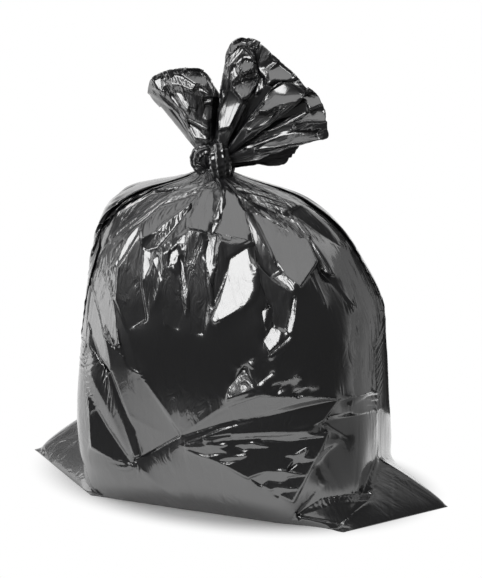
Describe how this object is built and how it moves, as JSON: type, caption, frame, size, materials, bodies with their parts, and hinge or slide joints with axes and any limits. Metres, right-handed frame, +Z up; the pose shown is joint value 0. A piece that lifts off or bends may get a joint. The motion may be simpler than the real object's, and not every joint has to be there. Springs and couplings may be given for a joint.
{
  "type": "tied bin bag",
  "caption": "Filled plastic refuse bag, knotted at the neck with loose film fanned out above the knot, standing on its flat base.",
  "frame": {"origin": "centre of the bag's footprint, on the floor", "axes": "+X along the bottom seal from the left corner to the right one, -Y towards the front, +Z up"},
  "size_m": [0.706, 0.3422, 0.7028],
  "materials": {
    "film": "glossy black blown polyethylene film, finely wrinkled"
  },
  "bodies": {
    "root": {"bin_bag": "film"}
  },
  "joints": []
}
